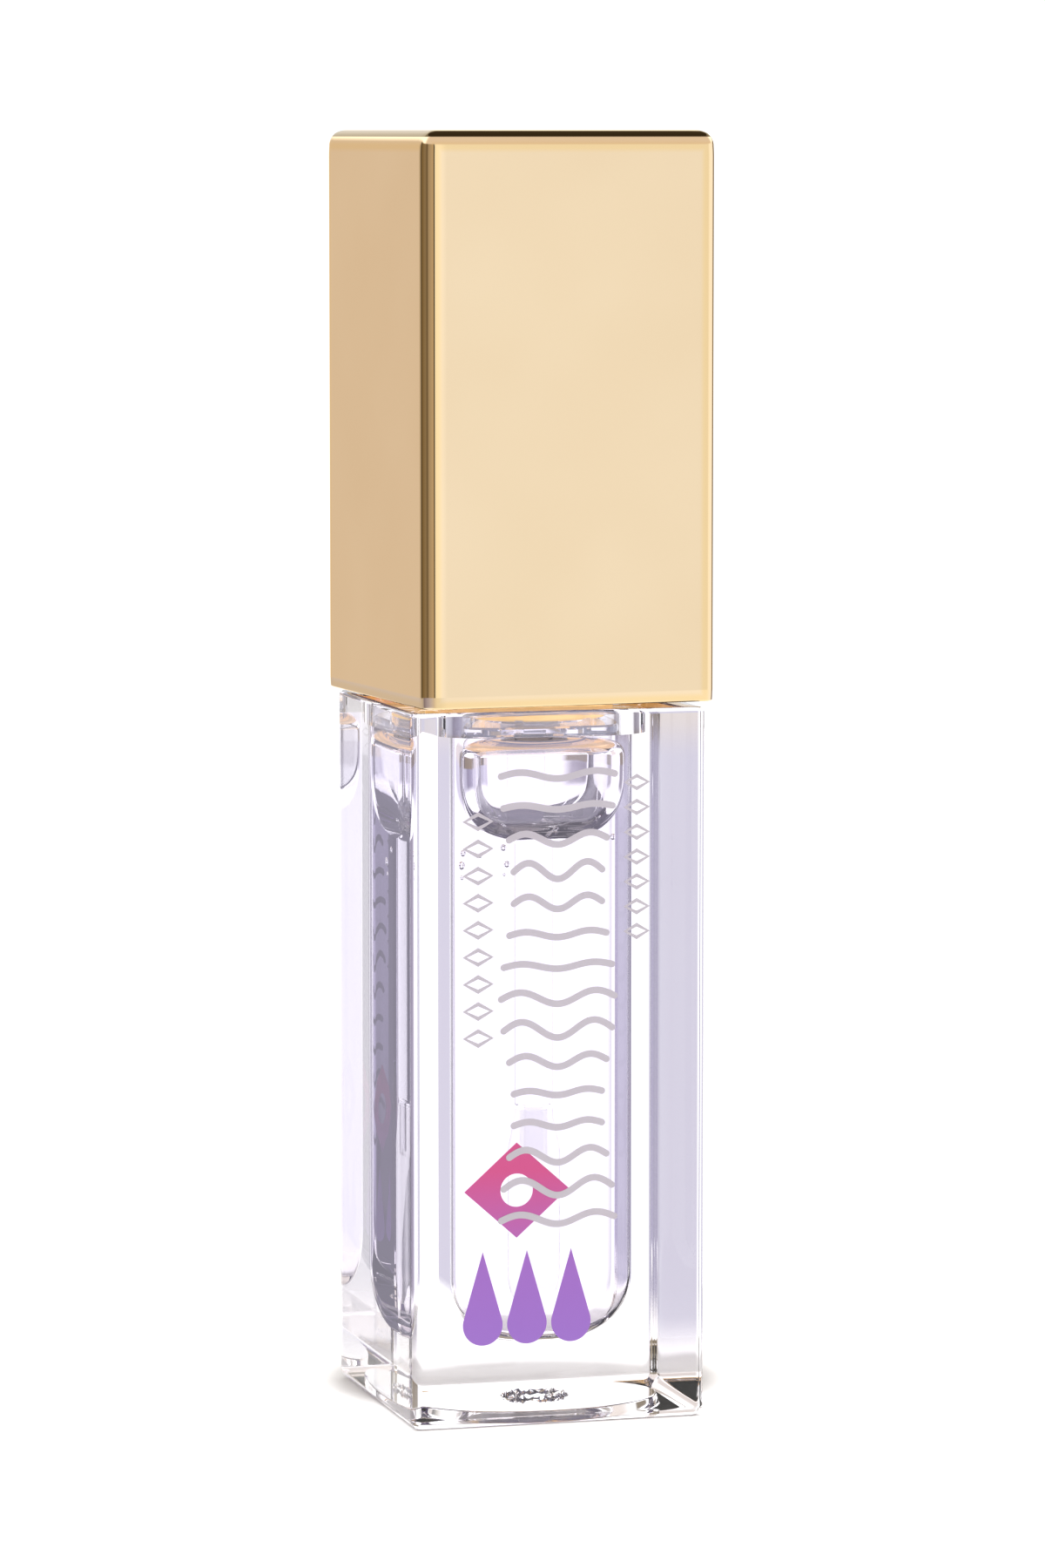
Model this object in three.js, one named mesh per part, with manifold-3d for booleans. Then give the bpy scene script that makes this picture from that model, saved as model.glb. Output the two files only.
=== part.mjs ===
// A square lip gloss tube: a heavy-walled clear bottle, a threaded neck plugged into its top, a wiper
// in the neck, and a tall metallised screw cap whose inner cap carries the wand down into the gloss.
// Millimetres, +Z up, origin at the centre of the base. The bottle's front face looks along -Y.
import * as THREE from "three";
import { mergeVertices } from "three/addons/utils/BufferGeometryUtils.js";
import Module from "manifold-3d";

const wasm = await Module();
wasm.setup();

// ---- driving dimensions ----
const BOTTLE = { side: 20, height: 47.1, corner: 0.7, footRound: 0.7, rimRound: 0.35 };
const CAP = { side: 20.2, height: 37.3, corner: 0.8, topRound: 1.1, wall: 1.15, roof: 1.3, gap: 0.3 };
const CAP_TWIST = THREE.MathUtils.degToRad(4.5); // the cap stands turned this far from the bottle's faces
const CAVITY = { side: 12.4, corner: 3.7, floor: 4.7, floorRound: 4.4 };
const RECESS = { side: 14.1, corner: 4.4, depth: 1.9 }; // seat in the bottle's top for the neck's flange
const DISH = { radius: 8.35, depth: 0.75, edge: 0.1, ringIn: 1.65, ringOut: 2.35, ringHeight: 0.3 };
const NECK = { flange: 0.6, radius: 4.5, bore: 3.6, height: 10.75, rimBevel: 0.4 };
const THREAD = { pitch: 3, crest: 0.55, rootHalf: 0.6, crestHalf: 0.22, bury: 0.3, start: 2.6, turns: 1.6 };
const WIPER = { lip: 4.4, lipThick: 0.7, wall: 0.6, orifice: 1.98, funnel: 5.2, throat: 1.6, bevel: 0.15 };
const WASHER = { inner: 1.7, outer: 4.3, thick: 0.6 };
const SLEEVE = { outer: 6.25, bore: 5.25, groove: 0.5, grooveTurns: 2, plate: 1.1, lowPlateUp: 0.8, web: 1 };
const BOSS = { radius: 3.2, height: 7, roof: 0.8 }; // the socket on the inner cap that holds the stem
const STEM = { radius: 1.3, plug: 1.8, barbs: 3, barbPitch: 2.2, barbDepth: 0.25, pin: 0.6, pinLength: 3 };
const TIP = { radius: 1.8, bottom: 6.3, top: 20, nose: 2.6, taper: 3, heel: 1.5 };
const TIP_SLANT = THREE.MathUtils.degToRad(11); // lean of the tip's flat face
const GLOSS = { level: 38.2, wandHole: 2.1, film: 0.1 };
const FIT = 0.05; // clearance between faces that rest on each other
const LOOSE = 0.3; // clearance round a piece pushed into another
const THROUGH = 1; // how far a cutter runs past the face it cuts

// ---- levels, bottom to top ----
const seatZ = BOTTLE.height - RECESS.depth;
const flangeTopZ = seatZ + FIT + NECK.flange;
const neckTopZ = flangeTopZ + NECK.height;
const wiperTopZ = neckTopZ + FIT + WIPER.lipThick;
const washerTopZ = wiperTopZ + 2 * FIT + WASHER.thick;
const roofZ = washerTopZ + LOOSE; // underside of the inner cap's roof
const roofTopZ = roofZ + SLEEVE.plate;
const bossTopZ = roofTopZ + BOSS.height;
const capBottomZ = BOTTLE.height + CAP.gap;
const capTopZ = capBottomZ + CAP.height;
const capCeilingZ = capTopZ - CAP.roof;

// ---- solids and geometry ----
const QUARTER_STEPS = 6; // segments in a quarter round
const EDGE_STEPS = 4; // segments across a rounded edge
const TURN_STEPS = 24; // segments in one turn of a thread
const ROUND_STEPS = 36; // segments round a turned piece

function solidOf(geometry) {
  const bare = geometry.index ? geometry.toNonIndexed() : geometry.clone();
  bare.deleteAttribute("normal");
  bare.deleteAttribute("uv");
  const merged = mergeVertices(bare, 1e-4);
  const vertProperties = merged.attributes.position.array;
  const triVerts = new Uint32Array(merged.index.array);
  return new wasm.Manifold(new wasm.Mesh({ numProp: 3, vertProperties, triVerts }));
}

function geometryOf(solid) {
  const mesh = solid.getMesh();
  const geometry = new THREE.BufferGeometry();
  geometry.setAttribute("position", new THREE.BufferAttribute(mesh.vertProperties, 3));
  geometry.setIndex(new THREE.BufferAttribute(mesh.triVerts, 1));
  return geometry;
}

// A turned solid from an outline of [radius, z] points that runs up its outside.
function turned(outline, steps = ROUND_STEPS) {
  const points = outline.map(([r, z]) => new THREE.Vector2(r, z));
  const [first, last] = [points[0], points[points.length - 1]];
  if (first.x > 0 || last.x > 0) points.push(first.clone());
  return solidOf(new THREE.LatheGeometry(points, steps).rotateX(Math.PI / 2));
}

// A plain round bar, for cutting bores.
function rod(radius, bottomZ, topZ) {
  return turned([[0, bottomZ], [radius, bottomZ], [radius, topZ], [0, topZ]]);
}

// One level of a loft: a square with round corners, anticlockwise from above.
function squareRing(half, corner, z) {
  const ring = [];
  for (let quarter = 0; quarter < 4; quarter++) {
    const turn = (quarter * Math.PI) / 2;
    for (let step = 0; step <= QUARTER_STEPS; step++) {
      const angle = (step / QUARTER_STEPS) * (Math.PI / 2);
      const point = new THREE.Vector2(Math.cos(angle), Math.sin(angle)).multiplyScalar(corner);
      point.addScalar(half - corner).rotateAround(new THREE.Vector2(), turn);
      ring.push([point.x, point.y, z]);
    }
  }
  return ring;
}

// A solid through rings of equal length: each joins the next, and flat fans close the two ends.
function loft(rings) {
  const count = rings[0].length;
  const index = [];
  const quad = (a, b, c, d) => index.push(a, b, c, a, c, d);
  for (let level = 0; level < rings.length - 1; level++) {
    const low = level * count;
    const high = low + count;
    for (let i = 0; i < count; i++) {
      const next = (i + 1) % count;
      quad(low + i, low + next, high + next, high + i);
    }
  }
  const top = (rings.length - 1) * count;
  for (let i = 1; i < count - 1; i++) {
    index.push(0, i + 1, i);
    index.push(top, top + i, top + i + 1);
  }
  const geometry = new THREE.BufferGeometry();
  geometry.setAttribute("position", new THREE.Float32BufferAttribute(rings.flat(2), 3));
  geometry.setIndex(index);
  return solidOf(geometry);
}

// A square block whose bottom and top edges are rounded by the given radii (0 leaves an edge sharp).
function squareBlock(side, corner, bottomZ, topZ, bottomRound = 0, topRound = 0) {
  const leastCorner = 0.4 * corner;
  const edge = (radius, baseZ, sign) => {
    if (radius === 0) return [squareRing(side / 2, corner, baseZ)];
    const levels = [];
    for (let step = 0; step <= EDGE_STEPS; step++) {
      const angle = (step / EDGE_STEPS) * (Math.PI / 2);
      const inset = radius * (1 - Math.sin(angle));
      const z = baseZ + sign * radius * (1 - Math.cos(angle));
      levels.push(squareRing(side / 2 - inset, Math.max(corner - inset, leastCorner), z));
    }
    return levels;
  };
  return loft([...edge(bottomRound, bottomZ, 1), ...edge(topRound, topZ, -1).reverse()]);
}

// The room for the gloss, shrunk by a clearance: its floor rounds up into the walls.
function cavitySolid(clearance, topZ) {
  const half = CAVITY.side / 2 - clearance;
  const round = CAVITY.floorRound - clearance;
  const flat = half - round;
  const rings = [];
  for (let step = 0; step <= QUARTER_STEPS; step++) {
    const angle = (step / QUARTER_STEPS) * (Math.PI / 2);
    const width = flat + round * Math.sin(angle);
    const corner = THREE.MathUtils.lerp(flat, CAVITY.corner - clearance, (width - flat) / round);
    rings.push(squareRing(width, corner, CAVITY.floor + clearance + round * (1 - Math.cos(angle))));
  }
  rings.push(squareRing(half, CAVITY.corner - clearance, topZ));
  return loft(rings);
}

// A thread: a ridge of trapezium section that climbs round a cylinder and fades out at both ends.
function threadSolid(baseRadius, height, startZ, turns) {
  const { pitch, rootHalf, crestHalf, bury } = THREAD;
  const rings = [];
  const steps = Math.round(turns * TURN_STEPS);
  const fade = 5; // steps over which each end rises
  const leastRise = 0.08; // share of the height left at the very end
  for (let step = 0; step <= steps; step++) {
    const fromEnd = Math.min(step, steps - step);
    const rise = Math.min(1, leastRise + fromEnd / fade);
    const angle = (step / steps) * turns * 2 * Math.PI;
    const z = startZ + (step / steps) * turns * pitch;
    const section = [
      [baseRadius - bury, -rootHalf],
      [baseRadius, -rootHalf],
      [baseRadius + height * rise, -crestHalf],
      [baseRadius + height * rise, crestHalf],
      [baseRadius, rootHalf],
      [baseRadius - bury, rootHalf],
    ];
    rings.push(section.map(([r, dz]) => [r * Math.cos(angle), r * Math.sin(angle), z + dz]).reverse());
  }
  return loft(rings);
}

// ---- the bottle's pieces ----
function bottleBody() {
  const { side, corner, height, footRound, rimRound } = BOTTLE;
  const outside = squareBlock(side, corner, 0, height, footRound, rimRound);
  const seat = squareBlock(RECESS.side, RECESS.corner, seatZ, BOTTLE.height + THROUGH);
  return outside.subtract(cavitySolid(0, seatZ + THROUGH)).subtract(seat).subtract(baseDish());
}

// The shallow flat hollow under the base, less the raised ring left round the moulding gate.
function baseDish() {
  const { radius, depth, edge, ringIn, ringOut, ringHeight } = DISH;
  const draft = 0.15; // slope of the ring's flanks
  return turned([
    [0, -THROUGH],
    [radius + edge, -THROUGH],
    [radius + edge, 0],
    [radius, depth - edge],
    [radius - edge, depth],
    [ringOut, depth],
    [ringOut - draft, depth - ringHeight],
    [ringIn + draft, depth - ringHeight],
    [ringIn, depth],
    [0, depth],
  ]);
}

function neckInsert() {
  const flange = squareBlock(RECESS.side - 2 * LOOSE, RECESS.corner - LOOSE, seatZ + FIT, flangeTopZ);
  const tube = turned([
    [0, seatZ + FIT],
    [NECK.radius, seatZ + FIT],
    [NECK.radius, neckTopZ - NECK.rimBevel],
    [NECK.radius - NECK.rimBevel, neckTopZ],
    [0, neckTopZ],
  ]);
  const thread = threadSolid(NECK.radius, THREAD.crest, flangeTopZ + THREAD.start, THREAD.turns);
  const bore = rod(NECK.bore, seatZ - THROUGH, neckTopZ + THROUGH);
  return flange.add(tube).add(thread).subtract(bore);
}

// A soft sleeve in the neck: a lip over the neck's rim, and a funnel down to the hole that wipes the wand.
function wiper() {
  const { lip, wall, orifice, funnel, throat, bevel } = WIPER;
  const outer = NECK.bore - 2 * FIT;
  const inner = outer - wall;
  const bottomZ = seatZ + LOOSE;
  const lipZ = neckTopZ + FIT;
  const shoulderZ = bottomZ + funnel + wall;
  return turned([
    [orifice + wall / 2, bottomZ],
    [orifice + wall, bottomZ + throat],
    [outer - bevel, bottomZ + funnel],
    [outer, shoulderZ],
    [outer, lipZ],
    [lip, lipZ],
    [lip, wiperTopZ - bevel],
    [lip - bevel, wiperTopZ],
    [inner + 2 * bevel, wiperTopZ],
    [inner, wiperTopZ - 3 * bevel],
    [inner, shoulderZ],
    [orifice, bottomZ + throat],
    [orifice, bottomZ],
  ]);
}

// The gloss stands to its level in the cavity and leaves the wand's place free, so that it can be drawn out.
function glossFill() {
  const wandHole = rod(GLOSS.wandHole, TIP.bottom - 2 * LOOSE, GLOSS.level + THROUGH);
  return cavitySolid(GLOSS.film, GLOSS.level).subtract(wandHole);
}

function sealWasher() {
  const bottomZ = wiperTopZ + 2 * FIT;
  return turned([
    [WASHER.outer, bottomZ],
    [WASHER.outer, washerTopZ],
    [WASHER.inner, washerTopZ],
    [WASHER.inner, bottomZ],
  ]);
}

// ---- the cap's pieces ----
function capShell() {
  const outside = squareBlock(CAP.side, CAP.corner, capBottomZ, capTopZ, 0, CAP.topRound);
  const inside = squareBlock(CAP.side - 2 * CAP.wall, CAP.corner, capBottomZ - THROUGH, capCeilingZ);
  return outside.subtract(inside);
}

// The inner cap: a threaded sleeve, two square plates that key it into the shell, a socket for the stem,
// and crossed webs that carry the shell's roof.
function innerCap() {
  const keySide = CAP.side - 2 * CAP.wall - 2 * LOOSE;
  const sleeveBottomZ = flangeTopZ + LOOSE;
  const lowPlateZ = capBottomZ + SLEEVE.lowPlateUp;
  const bevel = 0.15;
  const body = turned([
    [0, sleeveBottomZ],
    [SLEEVE.outer - bevel, sleeveBottomZ],
    [SLEEVE.outer, sleeveBottomZ + bevel],
    [SLEEVE.outer, roofTopZ],
    [BOSS.radius, roofTopZ],
    [BOSS.radius, bossTopZ],
    [0, bossTopZ],
  ]);
  const plate = (bottomZ) => squareBlock(keySide, CAP.corner, bottomZ, bottomZ + SLEEVE.plate);
  const web = (across, along) => {
    const bottomZ = roofZ + SLEEVE.plate / 2;
    const topZ = capCeilingZ - LOOSE;
    const box = new THREE.BoxGeometry(across, along, topZ - bottomZ);
    return solidOf(box.translate(0, 0, (topZ + bottomZ) / 2));
  };
  const grooveZ = flangeTopZ + THREAD.start - THREAD.rootHalf;
  return body
    .add(plate(lowPlateZ))
    .add(plate(roofZ))
    .add(web(keySide, SLEEVE.web))
    .add(web(SLEEVE.web, keySide))
    .subtract(rod(SLEEVE.bore, sleeveBottomZ - THROUGH, roofZ))
    .subtract(threadSolid(SLEEVE.bore, SLEEVE.groove, grooveZ, SLEEVE.grooveTurns))
    .subtract(rod(STEM.plug + LOOSE, roofZ - THROUGH, bossTopZ - BOSS.roof));
}

// The wand's rod: a barbed plug above for the inner cap's socket, and a pin below for the tip.
function stem() {
  const { radius, plug, barbs, barbPitch, barbDepth, pin, pinLength } = STEM;
  const bevel = 0.15;
  const shoulderZ = TIP.top + LOOSE;
  const plugZ = roofZ + bevel;
  const plugTopZ = bossTopZ - BOSS.roof - LOOSE;
  const outline = [[0, TIP.top - pinLength], [pin, TIP.top - pinLength], [pin, shoulderZ]];
  outline.push([radius - bevel, shoulderZ], [radius, shoulderZ + bevel], [radius, plugZ]);
  for (let barb = 0; barb < barbs; barb++) {
    const z = plugZ + barb * barbPitch;
    outline.push([plug, z], [plug - barbDepth, z + barbPitch]);
  }
  outline.push([plug - 2 * barbDepth, plugTopZ], [0, plugTopZ]);
  return turned(outline);
}

// A doe-foot tip: a soft round-nosed pad cut off on the slant, with a socket for the stem's pin.
function applicatorTip() {
  const { radius, bottom, top, nose, taper, heel } = TIP;
  const socket = STEM.pin + LOOSE;
  const socketBottomZ = top - STEM.pinLength - LOOSE;
  const outline = [[0, bottom]];
  for (let step = 1; step <= EDGE_STEPS; step++) {
    const angle = (step / EDGE_STEPS) * (Math.PI / 2);
    outline.push([radius * Math.sin(angle), bottom + nose * (1 - Math.cos(angle))]);
  }
  outline.push([radius, top - taper], [STEM.radius, top], [socket, top]);
  outline.push([socket, socketBottomZ], [0, socketBottomZ]);
  const cutter = new THREE.BoxGeometry(4 * radius, 2 * radius, 2 * top);
  cutter.translate(0, -radius, 0).rotateX(TIP_SLANT).translate(0, 0, bottom + heel);
  return turned(outline).subtract(solidOf(cutter));
}

// ---- materials ----
const finish = (color, roughness, metalness = 0, opacity = 1) =>
  new THREE.MeshStandardMaterial({ color, roughness, metalness, opacity, transparent: opacity < 1 });
const clearPlastic = finish(0xf4f4fa, 0.04, 0, 0.3);
const goldShell = finish(0xe3c58c, 0.12, 1);
const goldInner = finish(0xd9b577, 0.25, 1);
const naturalPlastic = finish(0xf2f1ec, 0.4, 0, 0.7);
const foam = finish(0xf6f5f0, 0.8);
const clearRod = finish(0xf5f6f7, 0.08, 0, 0.4);
const flock = finish(0xf3f0ea, 0.9);
const gloss = finish(0xfbfbfd, 0.03, 0, 0.3);

function piece(name, solid, material) {
  const mesh = new THREE.Mesh(geometryOf(solid), material);
  mesh.name = name;
  return mesh;
}

// ---- the assembly ----
const bottle = new THREE.Group();
bottle.add(
  piece("bottle_body", bottleBody(), clearPlastic),
  piece("neck_insert", neckInsert(), clearPlastic),
  piece("wiper", wiper(), naturalPlastic),
  piece("gloss_fill", glossFill(), gloss),
);

const cap = new THREE.Group();
cap.add(
  piece("cap_shell", capShell(), goldShell),
  piece("inner_cap", innerCap(), goldInner),
  piece("stem", stem(), clearRod),
  piece("applicator_tip", applicatorTip(), flock),
);
cap.rotation.z = CAP_TWIST;

const tube = new THREE.Group();
tube.add(bottle, piece("seal_washer", sealWasher(), foam), cap);

export default tube;
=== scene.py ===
# A square lip gloss tube with a metallised screw cap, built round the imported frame.
# Blender 4.5, metres, +Z up. The bottle's front face looks along -Y.
import math
import random

import bmesh
import bpy
from mathutils import Matrix, Vector


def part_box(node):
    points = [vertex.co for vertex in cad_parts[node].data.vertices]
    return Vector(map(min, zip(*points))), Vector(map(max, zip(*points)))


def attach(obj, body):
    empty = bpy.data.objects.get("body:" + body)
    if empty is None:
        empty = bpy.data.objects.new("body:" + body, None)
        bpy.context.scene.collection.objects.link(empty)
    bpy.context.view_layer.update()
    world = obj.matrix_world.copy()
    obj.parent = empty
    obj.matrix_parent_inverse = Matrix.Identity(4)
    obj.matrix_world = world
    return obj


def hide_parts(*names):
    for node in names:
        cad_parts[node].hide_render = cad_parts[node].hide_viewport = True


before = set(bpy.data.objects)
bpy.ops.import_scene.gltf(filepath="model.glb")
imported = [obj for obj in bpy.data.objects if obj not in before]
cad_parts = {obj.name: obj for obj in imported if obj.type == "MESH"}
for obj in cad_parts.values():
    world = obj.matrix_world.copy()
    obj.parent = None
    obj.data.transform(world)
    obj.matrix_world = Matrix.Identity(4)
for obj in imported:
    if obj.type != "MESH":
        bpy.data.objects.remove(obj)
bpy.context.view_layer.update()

MM = 0.001

# ---- places and sizes that the frame gives ----
bottle_low, bottle_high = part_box("bottle_body")
gloss_low, gloss_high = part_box("gloss_fill")
neck_low, neck_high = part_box("neck_insert")
wiper_low, wiper_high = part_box("wiper")
washer_low, washer_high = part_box("seal_washer")
shell_low, shell_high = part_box("cap_shell")
inner_low, inner_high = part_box("inner_cap")
stem_low, stem_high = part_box("stem")
tip_low, tip_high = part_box("applicator_tip")

SIDE = bottle_high.x - bottle_low.x
HALF = SIDE / 2
SHOULDER = bottle_high.z
TOP = shell_high.z

# ---- the bottle, where a box can't give it ----
CAVITY_GAP = 0.1 * MM  # the CAD gloss stands this far inside the cavity's wall
CAVITY_HALF = gloss_high.x + CAVITY_GAP
CAVITY_FLOOR = gloss_low.z - CAVITY_GAP
CAVITY_CORNER = 3.7 * MM
FLOOR_ROUND = 4.4 * MM
LEDGE = SHOULDER - 1.9 * MM  # the recess's floor, which carries the neck's flange
RECESS_HALF = 7.05 * MM
RECESS_CORNER = 4.4 * MM
RECESS_LIP = 0.12 * MM
BOTTLE_CORNER = 0.7 * MM
BOTTLE_CROWN = 0.012 * MM  # how far the ends of its faces are drawn in
FOOT_ROUND = 0.7 * MM
RIM_ROUND = 0.35 * MM
DISH_RADIUS = 8.35 * MM
DISH_DEPTH = 0.75 * MM
DISH_EDGE = 0.12 * MM
GATE_RING = 2.0 * MM  # radius of the rough ring round the moulding gate, to its middle
GATE_HALF = 0.42 * MM
GATE_RISE = 0.32 * MM  # how far its relief may reach, up or down

# ---- the bubble ----
SKIN = 0.02 * MM  # keeps the gloss's own side just inside the wall that it wets
BUBBLE_BOTTOM = 37.8 * MM
BUBBLE_TOP = 44.95 * MM
BUBBLE_MIDDLE = BUBBLE_TOP - 1.9 * MM  # where it is widest
BUBBLE_HALF = CAVITY_HALF - 0.45 * MM
BUBBLE_CORNER = 2.6 * MM
BELLY_BOXINESS = 2.8  # of an upright section's curve, where 2 is an ellipse
CROWN_BOXINESS = 4.5

# ---- the neck and the wiper ----
NECK_RADIUS = 4.5 * MM
NECK_BORE = 3.6 * MM
NECK_RIM = 0.4 * MM
FLANGE_TOP = neck_low.z + 0.6 * MM
FLANGE_BEVEL = 0.12 * MM
THREAD_PITCH = 3.0 * MM
THREAD_ROOT = 0.6 * MM  # half the ridge's width at its root
THREAD_CREST = 0.22 * MM
THREAD_HEIGHT = 0.55 * MM
THREAD_START = FLANGE_TOP + 2.6 * MM
THREAD_TURNS = 1.6
THREAD_RUN_IN = 0.15  # turns over which the ridge rises at each end
WIPER_WALL = 0.6 * MM
WIPER_HOLE = 1.98 * MM

# ---- the cap ----
CAP_TWIST = math.radians(4.5)
CAP_SIDE = 20.2 * MM
CAP_WALL = 1.15 * MM
CAP_ROOF = 1.3 * MM
CAP_CORNER = 0.8 * MM
CAP_CROWN = 0.02 * MM
CAP_EDGE = 0.12 * MM  # rounding of its lower edge
CAP_TOP_ROUND = 1.1 * MM
CAP_BEND = TOP - CAP_TOP_ROUND  # where its faces begin to turn into its top
CAP_TOP_CORNER = 0.35 * MM
SLEEVE_RADIUS = 6.25 * MM
SLEEVE_BORE = 5.25 * MM
GROOVE_DEPTH = 0.5 * MM
GROOVE_START = FLANGE_TOP + 2.0 * MM
GROOVE_TURNS = 2.0
PLATE = 1.1 * MM
PLATE_BEVEL = 0.1 * MM
LOW_PLATE_UP = 0.8 * MM
WEB = 1.0 * MM
BOSS_RADIUS = 3.2 * MM
BOSS_HEIGHT = 7 * MM
BOSS_ROOF = 0.8 * MM
SOCKET_RADIUS = 2.1 * MM
WASHER_HOLE = 1.7 * MM
LOOSE = 0.3 * MM  # clearance round a piece pushed into another

# ---- the wand ----
STEM_RADIUS = 1.3 * MM
STEM_PIN = 0.6 * MM
STEM_PLUG = 1.8 * MM
BARBS = 3
BARB_PITCH = 2.2 * MM
BARB_DEPTH = 0.25 * MM
TIP_RADIUS = 1.8 * MM
TIP_NOSE = 2.6 * MM
TIP_TAPER = 3 * MM
TIP_HEEL = 1.5 * MM  # height above the nose's end at which the slanted flat begins
TIP_SLANT = math.tan(math.radians(11))
TIP_LOWER = 0.08 * MM  # the nose starts this far under the CAD's box
TIP_SOCKET = 0.9 * MM
TIP_SOCKET_DEPTH = 3.3 * MM
FUZZ = 0.03 * MM

# ---- the printing ----
INK_STROKE = 0.45 * MM
INK_THICK = 0.008 * MM
INK_FACE = -HALF - 0.006 * MM  # just proud of the front face
RIPPLES = 15
RIPPLE_LEFT, RIPPLE_RIGHT = -4.0 * MM, 3.7 * MM
RIPPLE_LOW, RIPPLE_HIGH = 13.7 * MM, 42.9 * MM
DROPS_ACROSS = (-5.25 * MM, -2.25 * MM, 0.75 * MM)
DROP_FOOT = 5.5 * MM
DROP_RADIUS = 1.35 * MM
DROP_TALL = 6.2 * MM
GEM_MIDDLE = (-2.95 * MM, 15.7 * MM)
GEM_WIDE, GEM_TALL = 7.1 * MM, 6.3 * MM
GEM_HOLE = 1.1 * MM

# ---- optics ----
PLASTIC_INDEX = 1.57
GLOSS_INDEX = 1.48
ROD_INDEX, ROD_INDEX_WET = 1.49, 1.03
FLOCK_INDEX, FLOCK_INDEX_WET = 1.45, 1.02
FLOCK_THROUGH, FLOCK_THROUGH_WET = 0.15, 0.95
WALL_WAVE = 0.0006 * MM  # height of the waves that moulding leaves in a clear wall

# ---- colours: of a surface, the darkest and the lightest; of a glow, the colour and the strength ----
CLEAR_TINT = (0.965, 0.95, 0.99), (0.98, 0.97, 1)
# Painted shade: the gate ring's dark tint stands in for the shade in its rough relief.
GATE_SHADED_TINT = (0.03, 0.03, 0.05), (0.35, 0.33, 0.42)
WIPER_TINT = (0.86, 0.86, 0.84), (0.92, 0.92, 0.9)
FOAM_TINT = (0.8, 0.8, 0.77), (0.9, 0.9, 0.88)
FLOCK_TINT = (0.97, 0.965, 0.975), (0.995, 0.99, 0.995)
SHELL_TINT = (0.845, 0.67, 0.445), (0.87, 0.7, 0.475)
INNER_TINT = (0.93, 0.66, 0.3), (0.97, 0.72, 0.36)
METAL_SHEEN = (1.0, 0.92, 0.78)
# Painted reflection: a yellower gold laid along the edges of the cap's faces.
EDGE_REFLECTION_GOLD = (0.86, 0.64, 0.33)
# Painted shade: the dark reflection on the cap's top bend, laid into its colour.
RIM_PAINTED_SHADE = (0.1, 0.07, 0.035)
WETTED_GLOW = (0.6, 0.53, 0.76), 0.045
NECK_GLOW = (0.5, 0.5, 0.66), 0.08
GLOSS_GLOW = (0.56, 0.52, 0.64), 0.06
INNER_GLOW = (0.95, 0.62, 0.26), 0.55
INK_LILAC = (0.67, 0.64, 0.73)
DROP_COLOURS = (0.36, 0.18, 0.7), (0.39, 0.16, 0.64)  # at the foot and at the top
GEM_COLOURS = (0.5, 0.14, 0.52), (0.7, 0.09, 0.3)

# ---- the camera ----
CAMERA_AZIMUTH = math.radians(-15.6)
CAMERA_DISTANCE = 21.41 * SIDE
CAMERA_RIGHT = 0.0117 * SIDE
CAMERA_LENS = 148.4
AIM_HEIGHT = 0.488  # share of the tube's height


# ======================= meshes =======================

CORNER_STEPS = 10
BAND_STEPS = 5
FLAT_STEPS = 8
ROUND_STEPS = 96
THREADED_STEPS = 128
SMALL_STEPS = 64
EDGE_BAND = 0.7 * MM  # width of the soft band beside each edge of a face
CORNER_EASE = 0.3  # share of a crown that is given back half-way round a corner
ALMOST = 0.999  # keeps a round ring's straight sides from shrinking to nothing
SAME_PLACE = 1e-7
SHARP_ANGLE = math.radians(35)


def band_shares():
    """Shares of the way across a soft band, from the edge of a face to the band's inner end."""
    return [i / BAND_STEPS for i in range(BAND_STEPS + 1)]


def flat_places(reach):
    """Places along a flat face from -reach to reach, closer together in the soft bands at its ends."""
    band = min(EDGE_BAND, reach / 2)
    near_end = [-reach + band * share for share in band_shares()]
    inner = -near_end[-1]
    middle = [inner * (2 * i / FLAT_STEPS - 1) for i in range(1, FLAT_STEPS)]
    return near_end + middle + [-place for place in reversed(near_end[1:])], band


def square_ring(half, corner, z, crown=0.0):
    """A square with round corners at height z. A crown draws the faces in by that much at their ends."""
    reach = half - corner
    places, band = flat_places(reach)
    quarter = []
    for y in places:
        near_end = max(0.0, 1 - (reach - abs(y)) / band)
        quarter.append(Vector((half - crown * near_end ** 2, y)))
    for i in range(CORNER_STEPS):
        angle = math.pi / 2 * i / CORNER_STEPS
        bow = crown * (1 - CORNER_EASE * math.sin(2 * angle))
        radius = corner - bow
        quarter.append(Vector((reach + radius * math.cos(angle), reach + radius * math.sin(angle))))
    ring = []
    for turn in range(4):
        spin = Matrix.Rotation(turn * math.pi / 2, 2)
        for point in quarter:
            spun = spin @ point
            ring.append(Vector((spun.x, spun.y, z)))
    return ring


GUIDE = square_ring(HALF, BOTTLE_CORNER, 0.0)


def round_ring(radius, z):
    """A circle whose points lie in the same directions as a square ring's, so that the two can be joined."""
    return [Vector((p.x, p.y, 0)).normalized() * radius + Vector((0, 0, z)) for p in GUIDE]


def finish_mesh(name, mesh):
    """Makes an object of a mesh, smooth apart from its sharp edges."""
    work = bmesh.new()
    work.from_mesh(mesh)
    bmesh.ops.remove_doubles(work, verts=work.verts, dist=SAME_PLACE)
    for face in work.faces:
        face.smooth = True
    for edge in work.edges:
        edge.smooth = len(edge.link_faces) == 2 and edge.calc_face_angle() < SHARP_ANGLE
    work.to_mesh(mesh)
    work.free()
    made = bpy.data.objects.new(name, mesh)
    bpy.context.scene.collection.objects.link(made)
    return made


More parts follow.
